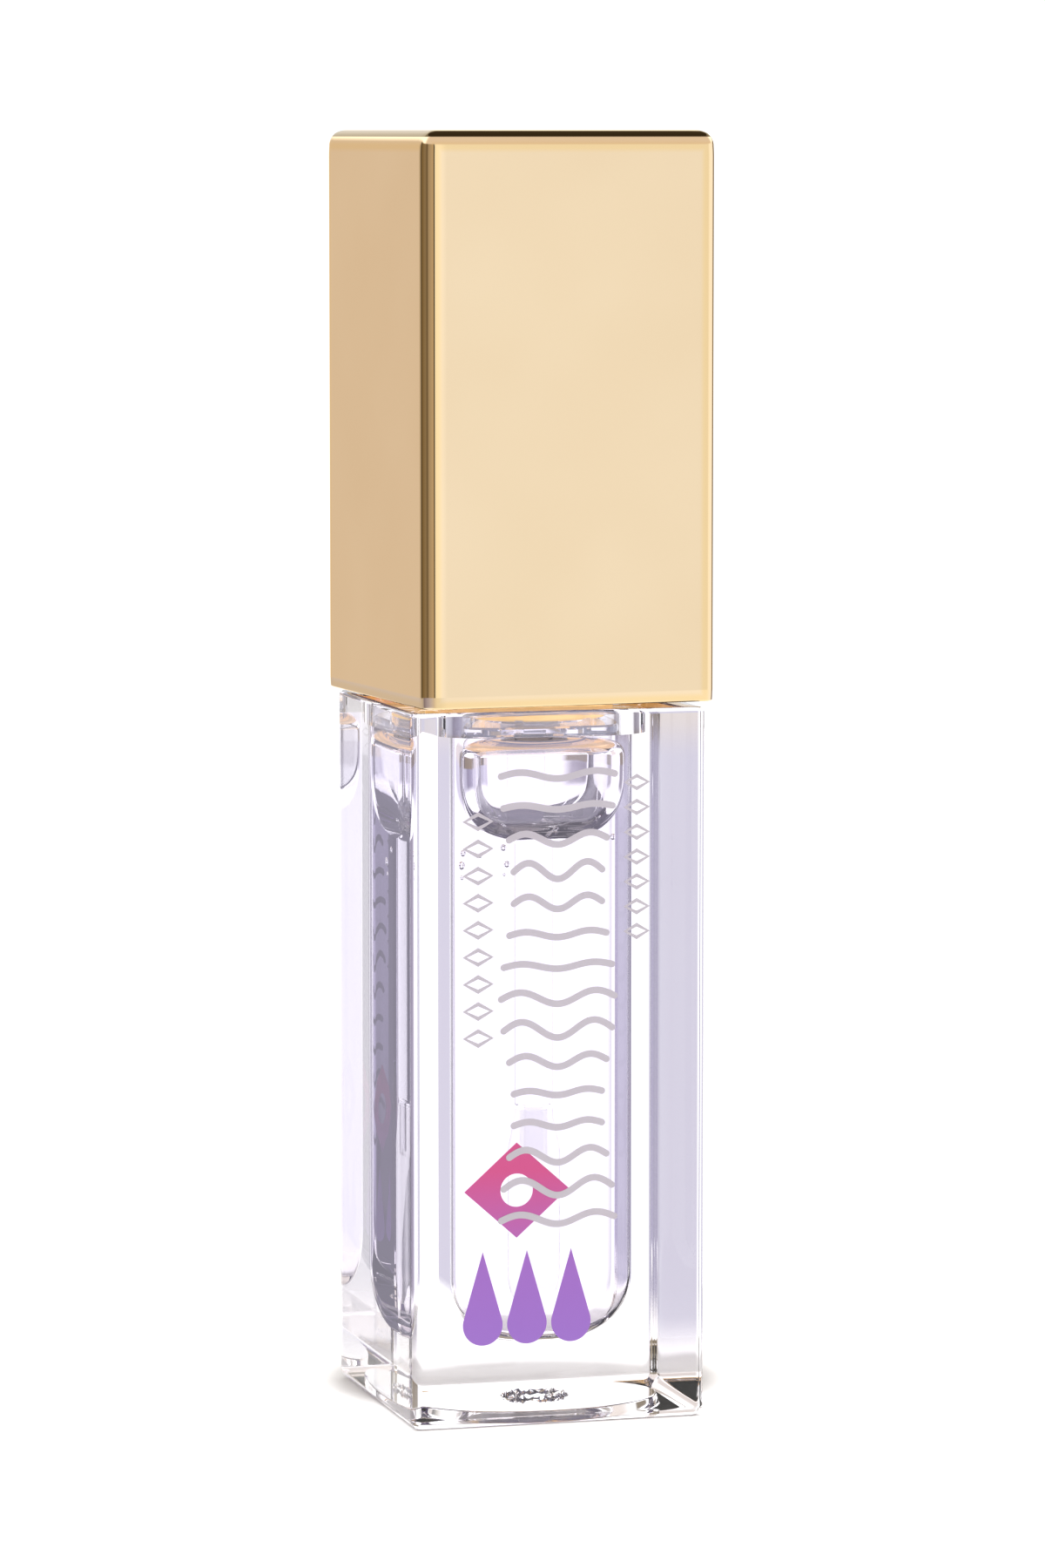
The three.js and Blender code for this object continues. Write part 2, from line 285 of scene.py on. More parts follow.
def ring_faces(rings, first=0):
    """Quads between neighbouring rings, and a fan to a middle point at each end.

    Returns the points, and faces that count them from first."""
    count = len(rings[0])
    points = [point for ring in rings for point in ring]
    faces = []
    for level in range(len(rings) - 1):
        low = first + level * count
        for i in range(count):
            j = (i + 1) % count
            faces.append((low + i, low + j, low + count + j, low + count + i))
    for ring, start, flip in ((rings[0], 0, True), (rings[-1], (len(rings) - 1) * count, False)):
        middle = first + len(points)
        points.append(sum(ring, Vector()) / count)
        for i in range(count):
            a, b = first + start + i, first + start + (i + 1) % count
            faces.append((b, a, middle) if flip else (a, b, middle))
    return points, faces


def loft(name, rings):
    """A solid through rings of equal length, closed at both ends."""
    mesh = bpy.data.meshes.new(name)
    points, faces = ring_faces(rings)
    mesh.from_pydata(points, [], faces)
    return finish_mesh(name, mesh)


def turned(name, outline, segments=ROUND_STEPS, relief=None):
    """A turned solid from (radius, z) points that run up its outside.

    relief(angle, radius, z) adds to a radius."""
    rings = []
    for radius, z in outline:
        ring = []
        for i in range(segments):
            angle = 2 * math.pi * i / segments
            r = radius + (relief(angle, radius, z) if relief else 0.0)
            ring.append(Vector((r * math.cos(angle), r * math.sin(angle), z)))
        rings.append(ring)
    if outline[0] == outline[-1]:
        return closed_loop(name, rings[:-1])
    return loft(name, rings)


def closed_loop(name, rings):
    """A solid whose last ring joins its first, such as a washer."""
    count, levels = len(rings[0]), len(rings)
    faces = []
    for level in range(levels):
        low, high = level * count, (level + 1) % levels * count
        for i in range(count):
            j = (i + 1) % count
            faces.append((low + i, low + j, high + j, high + i))
    mesh = bpy.data.meshes.new(name)
    mesh.from_pydata([point for ring in rings for point in ring], [], faces)
    return finish_mesh(name, mesh)


def block(name, half, corner, low, high, bevel):
    """A square plate with round corners and bevelled edges."""
    rings = [square_ring(half - bevel, corner, low), square_ring(half, corner, low + bevel)]
    rings += [square_ring(half, corner, high - bevel), square_ring(half - bevel, corner, high)]
    return loft(name, rings)


def web(name, across, along, low, high):
    """A plain upright box about the tube's axis."""
    mesh = bpy.data.meshes.new(name)
    work = bmesh.new()
    bmesh.ops.create_cube(work, size=1.0)
    bmesh.ops.scale(work, vec=(across, along, high - low), verts=work.verts)
    bmesh.ops.translate(work, vec=(0, 0, (low + high) / 2), verts=work.verts)
    work.to_mesh(mesh)
    work.free()
    return finish_mesh(name, mesh)


def arc(radius, steps, start=0.0, end=90.0):
    """(cosine, sine) pairs times the radius along an arc, angles in degrees."""
    for i in range(steps + 1):
        angle = math.radians(start + (end - start) * i / steps)
        yield radius * math.cos(angle), radius * math.sin(angle)


def rounded(radius, z, size, steps, start=0.0, end=90.0):
    """The (radius, z) points of a rounded corner about a middle, for a turned outline."""
    return [(radius + inset, z + rise) for inset, rise in arc(size, steps, start, end)]


def joined(base, tool, operation):
    """Joins or cuts base with tool, which is used up."""
    change = base.modifiers.new("join", "BOOLEAN")
    change.operation = operation
    change.solver = "EXACT"
    change.object = tool
    graph = bpy.context.evaluated_depsgraph_get()
    mesh = bpy.data.meshes.new_from_object(base.evaluated_get(graph), depsgraph=graph)
    name = base.name
    bpy.data.objects.remove(base)
    bpy.data.objects.remove(tool)
    made = finish_mesh(name, mesh)
    made.name = name
    return made


def fitted(piece, node, body):
    """Puts a piece in place of a CAD node, and weights its normals by area so that flat faces shade flat."""
    even = piece.modifiers.new("even_normals", "WEIGHTED_NORMAL")
    even.keep_sharp = True
    if node:
        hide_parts(node)
    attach(piece, body)


def turn_with_cap(piece):
    """Turns a piece as far as the cap stands turned at rest."""
    piece.data.transform(Matrix.Rotation(CAP_TWIST, 4, "Z"))
    return piece


# ======================= materials =======================

# Noise scales, in cells a metre.
CLEAR_DRIFT, CLEAR_WAVES = 160, 220
GOLD_DRIFT, GOLD_WAVES, GOLD_GRAIN = 90, 130, 2500
PLASTIC_DRIFT, PLASTIC_GRAIN = 500, 3500
INK_GRAIN = 9000
NOISE_LOW, NOISE_HIGH = 0.3, 0.7  # most of a noise lies between these


def material(name):
    """A new node material. Returns it, its tree and its Principled shader."""
    made = bpy.data.materials.new(name)
    made.use_nodes = True
    return made, made.node_tree, made.node_tree.nodes["Principled BSDF"]


def noise(tree, scale, detail=3.0, stretch=(1, 1, 1)):
    """A noise in the object's own metres, stretched along an axis where a number is below 1."""
    place = tree.nodes.new("ShaderNodeTexCoord")
    mapping = tree.nodes.new("ShaderNodeMapping")
    mapping.inputs["Scale"].default_value = stretch
    made = tree.nodes.new("ShaderNodeTexNoise")
    made.inputs["Scale"].default_value = scale
    made.inputs["Detail"].default_value = detail
    tree.links.new(place.outputs["Object"], mapping.inputs["Vector"])
    tree.links.new(mapping.outputs["Vector"], made.inputs["Vector"])
    return made


def bump(tree, shader, source, height):
    """Bumps of that height in metres."""
    made = tree.nodes.new("ShaderNodeBump")
    made.inputs["Distance"].default_value = height
    tree.links.new(source.outputs["Fac"], made.inputs["Height"])
    tree.links.new(made.outputs["Normal"], shader.inputs["Normal"])


def object_place(tree):
    """The X, Y and Z sockets of a point in the object's own metres."""
    place = tree.nodes.new("ShaderNodeTexCoord")
    split = tree.nodes.new("ShaderNodeSeparateXYZ")
    tree.links.new(place.outputs["Object"], split.inputs["Vector"])
    return split.outputs


def smooth_step(tree, source, low, high, below=0.0, above=1.0):
    """A smooth change from below to above while the source goes from low to high."""
    ramp = tree.nodes.new("ShaderNodeMapRange")
    ramp.interpolation_type = "SMOOTHSTEP"
    ramp.inputs["From Min"].default_value = low
    ramp.inputs["From Max"].default_value = high
    ramp.inputs["To Min"].default_value = below
    ramp.inputs["To Max"].default_value = above
    tree.links.new(source, ramp.inputs["Value"])
    return ramp.outputs["Result"]


def worked_out(tree, operation, first, second=None):
    """The result of a sum on one or two numbers or sockets."""
    node = tree.nodes.new("ShaderNodeMath")
    node.operation = operation
    for socket, value in zip(node.inputs, (first, second)):
        if isinstance(value, float):
            socket.default_value = value
        elif value:
            tree.links.new(value, socket)
    return node.outputs["Value"]


def vary_roughness(tree, shader, source, rough):
    """Lets the roughness drift between two values with a noise."""
    spread = tree.nodes.new("ShaderNodeMapRange")
    spread.inputs["To Min"].default_value = rough[0]
    spread.inputs["To Max"].default_value = rough[1]
    tree.links.new(source.outputs["Fac"], spread.inputs["Value"])
    tree.links.new(spread.outputs["Result"], shader.inputs["Roughness"])


def vary_colour(tree, shader, source, tint):
    """Lets the colour drift between a dark and a light one with a noise."""
    ramp = tree.nodes.new("ShaderNodeValToRGB")
    for stop, place, colour in zip(ramp.color_ramp.elements, (NOISE_LOW, NOISE_HIGH), tint):
        stop.position = place
        stop.color = (*colour, 1)
    tree.links.new(source.outputs["Fac"], ramp.inputs["Fac"])
    tree.links.new(ramp.outputs["Color"], shader.inputs["Base Color"])


def lay_over(tree, colour, share):
    """Lays a colour over the base colour, by a share from 0 to 1."""
    base = tree.nodes["Principled BSDF"].inputs["Base Color"]
    tint = tree.nodes.new("ShaderNodeMix")
    tint.data_type = "RGBA"
    tree.links.new(share, tint.inputs["Factor"])
    tree.links.new(base.links[0].from_socket, tint.inputs["A"])
    tint.inputs["B"].default_value = (*colour, 1)
    tree.links.new(tint.outputs["Result"], base)


def glow(made, colour, strength):
    """A faint glow that stands in for the light lost where a path crosses more clear faces than it may."""
    shader = made.node_tree.nodes["Principled BSDF"]
    shader.inputs["Emission Color"].default_value = (*colour, 1)
    shader.inputs["Emission Strength"].default_value = strength
    return made


def sunk_in_gloss(made, socket, dry, wet):
    """Gives a number one value in the open and another in the gloss, where wetting hides a surface."""
    nodes, links = made.node_tree.nodes, made.node_tree.links
    number = nodes["Principled BSDF"].inputs[socket]
    number.default_value = dry
    place = nodes.new("ShaderNodeNewGeometry")
    split = nodes.new("ShaderNodeSeparateXYZ")
    links.new(place.outputs["Position"], split.inputs["Vector"])
    links.new(smooth_step(made.node_tree, split.outputs["Z"], LEDGE, LEDGE + MM, wet, dry), number)
    return made


def clear(name, index, wave=0.0):
    """A clear material of that refractive index, with the faint waves that moulding leaves."""
    made, tree, shader = material(name)
    shader.inputs["Transmission Weight"].default_value = 1.0
    shader.inputs["IOR"].default_value = index
    shader.inputs["Roughness"].default_value = 0.0
    vary_colour(tree, shader, noise(tree, CLEAR_DRIFT), CLEAR_TINT)
    if wave:
        bump(tree, shader, noise(tree, CLEAR_WAVES, 1.0, (1, 1, 0.3)), wave)
    return made


def gold(name, tint, rough, wave, metal=1.0):
    """Metallised plastic: a mirror with slow waves, and a roughness that drifts a little.

    With metal below 1 it's nearer to a gold paint."""
    made, tree, shader = material(name)
    shader.inputs["Metallic"].default_value = metal
    shader.inputs["Specular Tint"].default_value = (*METAL_SHEEN, 1)
    vary_colour(tree, shader, noise(tree, GOLD_DRIFT, 2.0), tint)
    vary_roughness(tree, shader, noise(tree, GOLD_GRAIN, 4.0), rough)
    bump(tree, shader, noise(tree, GOLD_WAVES, 1.5, (1, 1, 0.5)), wave)
    return made


def paint_edge_reflection(made, low, width):
    """Tints the cap's gold yellower along the edges of its flat faces: a painted reflection of the yellower
    light that the crowned edges catch.
    """
    tree = made.node_tree
    place = tree.nodes.new("ShaderNodeTexCoord")
    square = tree.nodes.new("ShaderNodeMapping")
    square.inputs["Rotation"].default_value = (0, 0, -CAP_TWIST)
    split = tree.nodes.new("ShaderNodeSeparateXYZ")
    tree.links.new(place.outputs["Object"], square.inputs["Vector"])
    tree.links.new(square.outputs["Vector"], split.inputs["Vector"])

    across = worked_out(tree, "ABSOLUTE", split.outputs["X"])
    along = worked_out(tree, "ABSOLUTE", split.outputs["Y"])
    in_face = worked_out(tree, "MINIMUM", across, along)
    to_corner = worked_out(tree, "SUBTRACT", CAP_SIDE / 2 - CAP_CORNER, in_face)
    to_top = worked_out(tree, "SUBTRACT", CAP_BEND, split.outputs["Z"])
    to_bottom = worked_out(tree, "SUBTRACT", split.outputs["Z"], low)
    nearest = worked_out(tree, "MINIMUM", to_corner, worked_out(tree, "MINIMUM", to_top, to_bottom))
    share = smooth_step(tree, worked_out(tree, "ABSOLUTE", nearest), 0.1 * width, width, 0.85, 0.0)
    lay_over(tree, EDGE_REFLECTION_GOLD, share)
    return made


# Painted shade: the dark band stands in for the dark reflection on the top bend.
def paint_rim_shade(made, low, high, soft):
    """Darkens a band round the cap's top between two heights, where the photo shows the bend dark."""
    tree = made.node_tree
    height = object_place(tree)["Z"]
    above = smooth_step(tree, height, low, low + soft)
    below = smooth_step(tree, height, high - soft, high, 1.0, 0.0)
    lay_over(tree, RIM_PAINTED_SHADE, worked_out(tree, "MULTIPLY", above, below))
    return made


def soft_plastic(name, tint, rough, grain, through=0.0, index=1.5):
    """A matte or translucent surface with a fine grain."""
    made, tree, shader = material(name)
    shader.inputs["Transmission Weight"].default_value = through
    shader.inputs["IOR"].default_value = index
    fine = noise(tree, PLASTIC_GRAIN, 4.0)
    vary_colour(tree, shader, noise(tree, PLASTIC_DRIFT), tint)
    vary_roughness(tree, shader, fine, rough)
    bump(tree, shader, fine, grain)
    return made


def ink(name, colours, low, high, solid=1.0):
    """Printing ink that runs from one colour to another between two heights, with a screen-printed grain."""
    made, tree, shader = material(name)
    height = tree.nodes.new("ShaderNodeMapRange")
    ramp = tree.nodes.new("ShaderNodeValToRGB")
    height.inputs["From Min"].default_value = low
    height.inputs["From Max"].default_value = high
    for stop, colour in zip(ramp.color_ramp.elements, colours):
        stop.color = (*colour, 1)
    tree.links.new(object_place(tree)["Z"], height.inputs["Value"])
    tree.links.new(height.outputs["Result"], ramp.inputs["Fac"])
    tree.links.new(ramp.outputs["Color"], shader.inputs["Base Color"])
    vary_roughness(tree, shader, noise(tree, INK_GRAIN, 2.0), (0.35, 0.6))
    shader.inputs["Alpha"].default_value = solid
    return made


# ======================= the bottle =======================


def gate_rings():
    """The moulding gate's rough ring. Its relief runs both ways from the hollow's roof."""
    random.seed(4)
    steps = 10
    rings = []
    for i in range(steps + 1):
        offset = GATE_HALF * (2 * i / steps - 1)
        rise = GATE_RISE * math.cos(offset / GATE_HALF * math.pi / 2) ** 0.7
        ring = round_ring(GATE_RING + offset, DISH_DEPTH)
        for point in ring:
            point.z -= rise * random.uniform(-1.0, 1.0)
        rings.append(ring)
    return rings


def dish_rings():
    """The underside from the middle out: a flat hollow with the gate's ring, and the hollow's step."""
    edge = DISH_EDGE
    rings = [round_ring(share * (GATE_RING - GATE_HALF), DISH_DEPTH) for share in (0.3, 0.6, 0.9)]
    rings += gate_rings()
    first, steps = GATE_RING + 1.15 * GATE_HALF, 6
    rings += [round_ring(first + (DISH_RADIUS - first) * i / steps, DISH_DEPTH) for i in range(steps)]
    rings += [round_ring(DISH_RADIUS - edge + r, DISH_DEPTH - edge + z) for r, z in arc(edge, 4, 90, 0)]
    rings += [round_ring(DISH_RADIUS + 2 * edge - r, edge - z) for r, z in arc(edge, 4, 0, 90)]
    return rings


def cavity_rings(shrink, top):
    """The cavity's wall, from its floor's middle up to a height.

    Shrunk by a clearance, it's the gloss's outside."""
    half = CAVITY_HALF - shrink
    turn = FLOOR_ROUND - shrink
    flat = half - turn
    corner = CAVITY_CORNER - shrink
    floor = CAVITY_FLOOR + shrink
    rings = [square_ring(flat * share, flat * share * ALMOST, floor) for share in (0.35, 0.7)]
    for inset, rise in arc(turn, 16, -90, 0):
        width = flat + inset
        round_here = flat + (corner - flat) * inset / turn
        rings.append(square_ring(width, min(round_here, width * ALMOST), floor + turn + rise))
    rings.append(square_ring(half, corner, top))
    return rings


def bottle_rings():
    """From the middle of the underside, up the outside, and down the recess and the cavity."""
    rings = dish_rings()
    for inset, rise in arc(FOOT_ROUND, 6, -90, 0):
        corner = BOTTLE_CORNER * (0.4 + 0.6 * inset / FOOT_ROUND)
        rings.append(square_ring(HALF - FOOT_ROUND + inset, corner, FOOT_ROUND + rise, BOTTLE_CROWN))
    for inset, rise in arc(RIM_ROUND, 5):
        height = SHOULDER - RIM_ROUND + rise
        rings.append(square_ring(HALF - RIM_ROUND + inset, BOTTLE_CORNER, height, BOTTLE_CROWN))
    for inset, rise in arc(RECESS_LIP, 3, 90, 180):
        height = SHOULDER - RECESS_LIP + rise
        rings.append(square_ring(RECESS_HALF + RECESS_LIP + inset, RECESS_CORNER, height))
    rings.append(square_ring(RECESS_HALF, RECESS_CORNER, LEDGE))
    rings += reversed(cavity_rings(0.0, LEDGE))
    return rings


def bottle():
    """The heavy-walled bottle. The wall that the gloss wets and the gate's ring have their own materials."""
    made = loft("bottle", bottle_rings())
    wall = clear("clear_plastic", PLASTIC_INDEX, WALL_WAVE)
    wetted = glow(clear("clear_plastic_wetted", PLASTIC_INDEX / GLOSS_INDEX), *WETTED_GLOW)
    # The gate ring is rough and dark; its dark tint is painted shade.
    gate = soft_plastic("clear_plastic_gate", GATE_SHADED_TINT, (0.3, 0.6), 0.02 * MM, 0.2, PLASTIC_INDEX)
    for look in (wall, wetted, gate):
        made.data.materials.append(look)
    near = 0.01 * MM
    for face in made.data.polygons:
        inside = max(abs(face.center.x), abs(face.center.y)) < CAVITY_HALF + near
        if inside and CAVITY_FLOOR - near < face.center.z < LEDGE - near:
            face.material_index = 1
        elif face.center.z < DISH_DEPTH and abs(face.center.xy.length - GATE_RING) < GATE_HALF:
            face.material_index = 2
    fitted(made, "bottle_body", "bottle")


def thread(base, height, start, turns):
    """A relief for turned(): a ridge of trapezium section that climbs round the radius base."""
    def relief(angle, radius, z):
        if abs(radius - base) > SAME_PLACE:
            return 0.0
        climb = (z - start) / THREAD_PITCH - angle / (2 * math.pi)
        nearest = round(climb)
        along = nearest + angle / (2 * math.pi)
        off = abs(climb - nearest) * THREAD_PITCH
        rise = max(0.0, min(1.0, along / THREAD_RUN_IN + 0.1, (turns - along) / THREAD_RUN_IN + 0.1))
        slope = (THREAD_ROOT - off) / (THREAD_ROOT - THREAD_CREST)
        return height * rise * max(0.0, min(1.0, slope))
    return relief


def neck():
    """The clear neck: a flange that sits in the bottle's recess, and a threaded spout."""
    flange = block("neck", neck_high.x, RECESS_CORNER - LOOSE, neck_low.z, FLANGE_TOP, FLANGE_BEVEL)
    low, high = neck_low.z + 0.2 * MM, neck_high.z - NECK_RIM
    steps = 110
    outline = [(NECK_RADIUS, low + (high - low) * i / steps) for i in range(steps + 1)]
    outline += rounded(NECK_RADIUS - NECK_RIM, high, NECK_RIM, 4)[1:]
    ridge = thread(NECK_RADIUS, THREAD_HEIGHT, THREAD_START, THREAD_TURNS)
    spout = turned("spout", outline, THREADED_STEPS, ridge)
    bore = turned("bore", [(NECK_BORE, neck_low.z - MM), (NECK_BORE, neck_high.z + MM)], THREADED_STEPS)
    made = joined(joined(flange, spout, "UNION"), bore, "DIFFERENCE")
    made.data.materials.clear()
    made.data.materials.append(glow(clear("clear_neck", PLASTIC_INDEX, WALL_WAVE), *NECK_GLOW))
    fitted(made, "neck_insert", "bottle")


def wiper():
    """The soft sleeve in the neck, with its lip over the rim and its funnel down to the wiping hole."""
    low, top = wiper_low.z, wiper_high.z
    lip, lip_under = wiper_high.x, neck_high.z + 0.05 * MM
    outer = NECK_BORE - 0.1 * MM
    inner = outer - WIPER_WALL
    throat, funnel, bend = low + 1.6 * MM, low + 5.2 * MM, low + 5.8 * MM
    lip_round, mouth_round = 0.2 * MM, 0.3 * MM
    outline = [(WIPER_HOLE + 0.3 * MM, low), (WIPER_HOLE + WIPER_WALL, throat)]
    outline += [(outer - 0.15 * MM, funnel), (outer, bend), (outer, lip_under), (lip, lip_under)]
    outline += rounded(lip - lip_round, top - lip_round, lip_round, 4)
    outline += rounded(inner + mouth_round, top - mouth_round, mouth_round, 4, 90, 180)
    outline += [(inner, bend), (WIPER_HOLE, throat), (WIPER_HOLE, low)]
    made = turned("wiper", outline + outline[:1])
    look = soft_plastic("natural_plastic", WIPER_TINT, (0.3, 0.45), 0.002 * MM, 0.55)
    made.data.materials.append(look)
    fitted(made, "wiper", "bottle")


# ======================= the gloss =======================


def bubble_rings():
    """The big air bubble under the neck: a soft box whose belly is deeper than its crown."""
    steps = 20
    rings = []
    for i in range(1, 2 * steps):
        angle = math.pi * i / (2 * steps)
        rising = i > steps
        power = 2 / (CROWN_BOXINESS if rising else BELLY_BOXINESS)
        reach = BUBBLE_TOP - BUBBLE_MIDDLE if rising else BUBBLE_BOTTOM - BUBBLE_MIDDLE
        width = math.sin(angle) ** power
        height = BUBBLE_MIDDLE + reach * abs(math.cos(angle)) ** power
        rings.append(square_ring(BUBBLE_HALF * width, BUBBLE_CORNER * width, height))
    return rings


def small_bubbles():
    """(middle, radius) of the little bubbles that hang in the gloss below the big one."""
    random.seed(11)
    wall = -CAVITY_HALF + 0.9 * MM
    by_front = [
        (-3.0, 37.9, 0.2), (-2.75, 36.8, 0.2), (-2.9, 36.1, 0.1), (4.5, 38.4, 0.19), (-4.6, 37.4, 0.13),
    ]
    for x, z, radius in by_front:
        yield Vector((x * MM, wall + random.uniform(0, 0.5) * MM, z * MM)), radius * MM
    by_left = [(36.4, 0.26), (37.3, 0.2), (35.6, 0.14)]
    for z, radius in by_left:
        yield Vector((wall, random.uniform(-1.5, 1.5) * MM, z * MM)), radius * MM


def add_small_bubbles(work):
    """Little hollows in the gloss: balls whose faces look inwards."""
    for place, radius in small_bubbles():
        made = bmesh.ops.create_uvsphere(work, u_segments=24, v_segments=16, radius=radius)
        bmesh.ops.scale(work, vec=(1, 1, 1.12), verts=made["verts"])
        bmesh.ops.translate(work, vec=place, verts=made["verts"])
        ball = list({face for vert in made["verts"] for face in vert.link_faces})
        bmesh.ops.reverse_faces(work, faces=ball)


def gloss():
    """The gloss fills the cavity up to the neck, less its bubbles.

    Its side only passes light on to the wetted wall."""
    points, faces = ring_faces(cavity_rings(SKIN, LEDGE - SKIN))
    sides = len(faces)
    bubble_points, bubble_faces = ring_faces(bubble_rings(), len(points))
    points += bubble_points
    faces += [tuple(reversed(face)) for face in bubble_faces]
    mesh = bpy.data.meshes.new("gloss")
    mesh.from_pydata(points, [], faces)
    work = bmesh.new()
    work.from_mesh(mesh)
    add_small_bubbles(work)
    for index, face in enumerate(work.faces):
        face.material_index = int(index >= sides)
    work.to_mesh(mesh)
    work.free()
    made = finish_mesh("gloss", mesh)
    made.data.materials.append(clear("gloss_side", 1.0))
    made.data.materials.append(glow(clear("gloss_surface", GLOSS_INDEX), *GLOSS_GLOW))
    fitted(made, "gloss_fill", "bottle")


# ======================= the cap =======================


def shell_rings():
    """From the middle of the ceiling, down the inside, and up the outside to the middle of the top."""
    half, low = CAP_SIDE / 2, shell_low.z
    inner_half, ceiling = half - CAP_WALL, TOP - CAP_ROOF
    rings = [square_ring(inner_half * share, CAP_CORNER * share, ceiling) for share in (0.3, 0.7)]
    rings.append(square_ring(inner_half, CAP_CORNER, ceiling))
    rings.append(square_ring(inner_half, CAP_CORNER, low + CAP_EDGE))
    rings.append(square_ring(inner_half + CAP_EDGE, CAP_CORNER, low))
    for inset, rise in arc(CAP_EDGE, 4, -90, -15):
        width = half - CAP_CROWN - CAP_EDGE + inset
        rings.append(square_ring(width, CAP_CORNER, low + CAP_EDGE + rise, CAP_CROWN))
    sides = [(low + CAP_EDGE + EDGE_BAND * share, share) for share in band_shares()]
    sides += [(CAP_BEND - EDGE_BAND * share, share) for share in reversed(band_shares())]
    for height, share in sides:
        rings.append(square_ring(half - CAP_CROWN * (1 - share) ** 2, CAP_CORNER, height, CAP_CROWN))
    flat = half - CAP_TOP_ROUND
    for inset, rise in list(arc(CAP_TOP_ROUND - CAP_CROWN, 12))[1:]:
        corner = max(CAP_TOP_CORNER, CAP_CORNER - (CAP_TOP_ROUND - inset))
        rings.append(square_ring(flat + inset, corner, CAP_BEND + rise, CAP_CROWN))
    rings += [square_ring(flat * share, CAP_TOP_CORNER * share, TOP - CAP_CROWN) for share in (0.7, 0.3)]
    return rings


def cap_shell():
    """The tall metallised cap: crisp upright edges, a soft band beside each, and a hollow inside."""
    made = turn_with_cap(loft("cap_shell_skin", shell_rings()))
    look = gold("gold_shell", SHELL_TINT, (0.02, 0.04), 0.0008 * MM)
    look = paint_edge_reflection(look, shell_low.z + 0.25 * MM, 0.45 * MM)
    made.data.materials.append(paint_rim_shade(look, TOP - 0.5 * MM, TOP - 0.04 * MM, 0.05 * MM))
    fitted(made, "cap_shell", "cap")


def inner_cap_outside(roof):
    """The sleeve with the stem's boss, two square plates that key it into the shell, and the webs."""
    key_half = CAP_SIDE / 2 - CAP_WALL - LOOSE
    roof_top = roof + PLATE
    bevel, overlap = 0.15 * MM, 0.2 * MM
    outline = rounded(SLEEVE_RADIUS - bevel, inner_low.z + bevel, bevel, 4, -90, 0)
    outline += [(SLEEVE_RADIUS, roof_top - overlap), (BOSS_RADIUS, roof_top - overlap)]
    outline.append((BOSS_RADIUS, roof_top + BOSS_HEIGHT))
    made = turned("inner_cap_moulding", outline, THREADED_STEPS)
    for low in (shell_low.z + LOW_PLATE_UP, roof):
        made = joined(made, block("plate", key_half, CAP_CORNER, low, low + PLATE, PLATE_BEVEL), "UNION")
    reach = 2 * key_half - 0.4 * MM
    for across, along in ((reach, WEB), (WEB, reach)):
        made = joined(made, web("web", across, along, roof + PLATE / 2, inner_high.z), "UNION")
    return made


def inner_cap():
    """The inner cap: its outside, less the threaded bore and the stem's socket."""
    roof = washer_high.z + LOOSE
    made = inner_cap_outside(roof)
    low, steps = inner_low.z - 0.5 * MM, 130
    outline = [(SLEEVE_BORE, low + (roof - low) * i / steps) for i in range(steps + 1)]
    groove = thread(SLEEVE_BORE, GROOVE_DEPTH, GROOVE_START, GROOVE_TURNS)
    made = joined(made, turned("bore", outline, THREADED_STEPS, groove), "DIFFERENCE")
    socket_top = roof + PLATE + BOSS_HEIGHT - BOSS_ROOF
    socket = turned("socket", [(SOCKET_RADIUS, roof - MM), (SOCKET_RADIUS, socket_top)], SMALL_STEPS)
    made = turn_with_cap(joined(made, socket, "DIFFERENCE"))
    made.data.materials.clear()
    look = gold("gold_inner", INNER_TINT, (0.25, 0.35), 0.002 * MM, 0.35)
    made.data.materials.append(glow(look, *INNER_GLOW))
    fitted(made, "inner_cap", "cap")


def washer():
    """The foam ring in the inner cap, which seals on the wiper's lip."""
    low, high, outer = washer_low.z, washer_high.z, washer_high.x
    bevel = 0.12 * MM
    outline = rounded(outer - bevel, low + bevel, bevel, 3, -90, 0)
    outline += rounded(outer - bevel, high - bevel, bevel, 3)
    outline += rounded(WASHER_HOLE + bevel, high - bevel, bevel, 3, 90, 180)
    outline += rounded(WASHER_HOLE + bevel, low + bevel, bevel, 3, 180, 270)
    made = turned("washer", outline + outline[:1])
    made.data.materials.append(soft_plastic("foam", FOAM_TINT, (0.7, 0.9), 0.02 * MM))
    fitted(made, "seal_washer", "washer")


def stem():
    """The wand's clear rod, with a barbed plug above and a pin below."""
    bevel = 0.15 * MM
    shoulder = tip_high.z + LOOSE
    plug_low = washer_high.z + LOOSE + bevel
    outline = [(STEM_PIN, stem_low.z), (STEM_PIN, shoulder)]
    outline += rounded(STEM_RADIUS - bevel, shoulder + bevel, bevel, 4, -90, 0)
    outline.append((STEM_RADIUS, plug_low))
    for barb in range(BARBS):
        low = plug_low + barb * BARB_PITCH
        outline += [(STEM_PLUG, low), (STEM_PLUG - BARB_DEPTH, low + BARB_PITCH)]
    outline.append((STEM_PLUG - 2 * BARB_DEPTH, stem_high.z))
    made = turn_with_cap(turned("wand_stem", outline, SMALL_STEPS))
    look = sunk_in_gloss(clear("clear_rod", ROD_INDEX), "IOR", ROD_INDEX, ROD_INDEX_WET)
    made.data.materials.append(look)
    fitted(made, "stem", "cap")


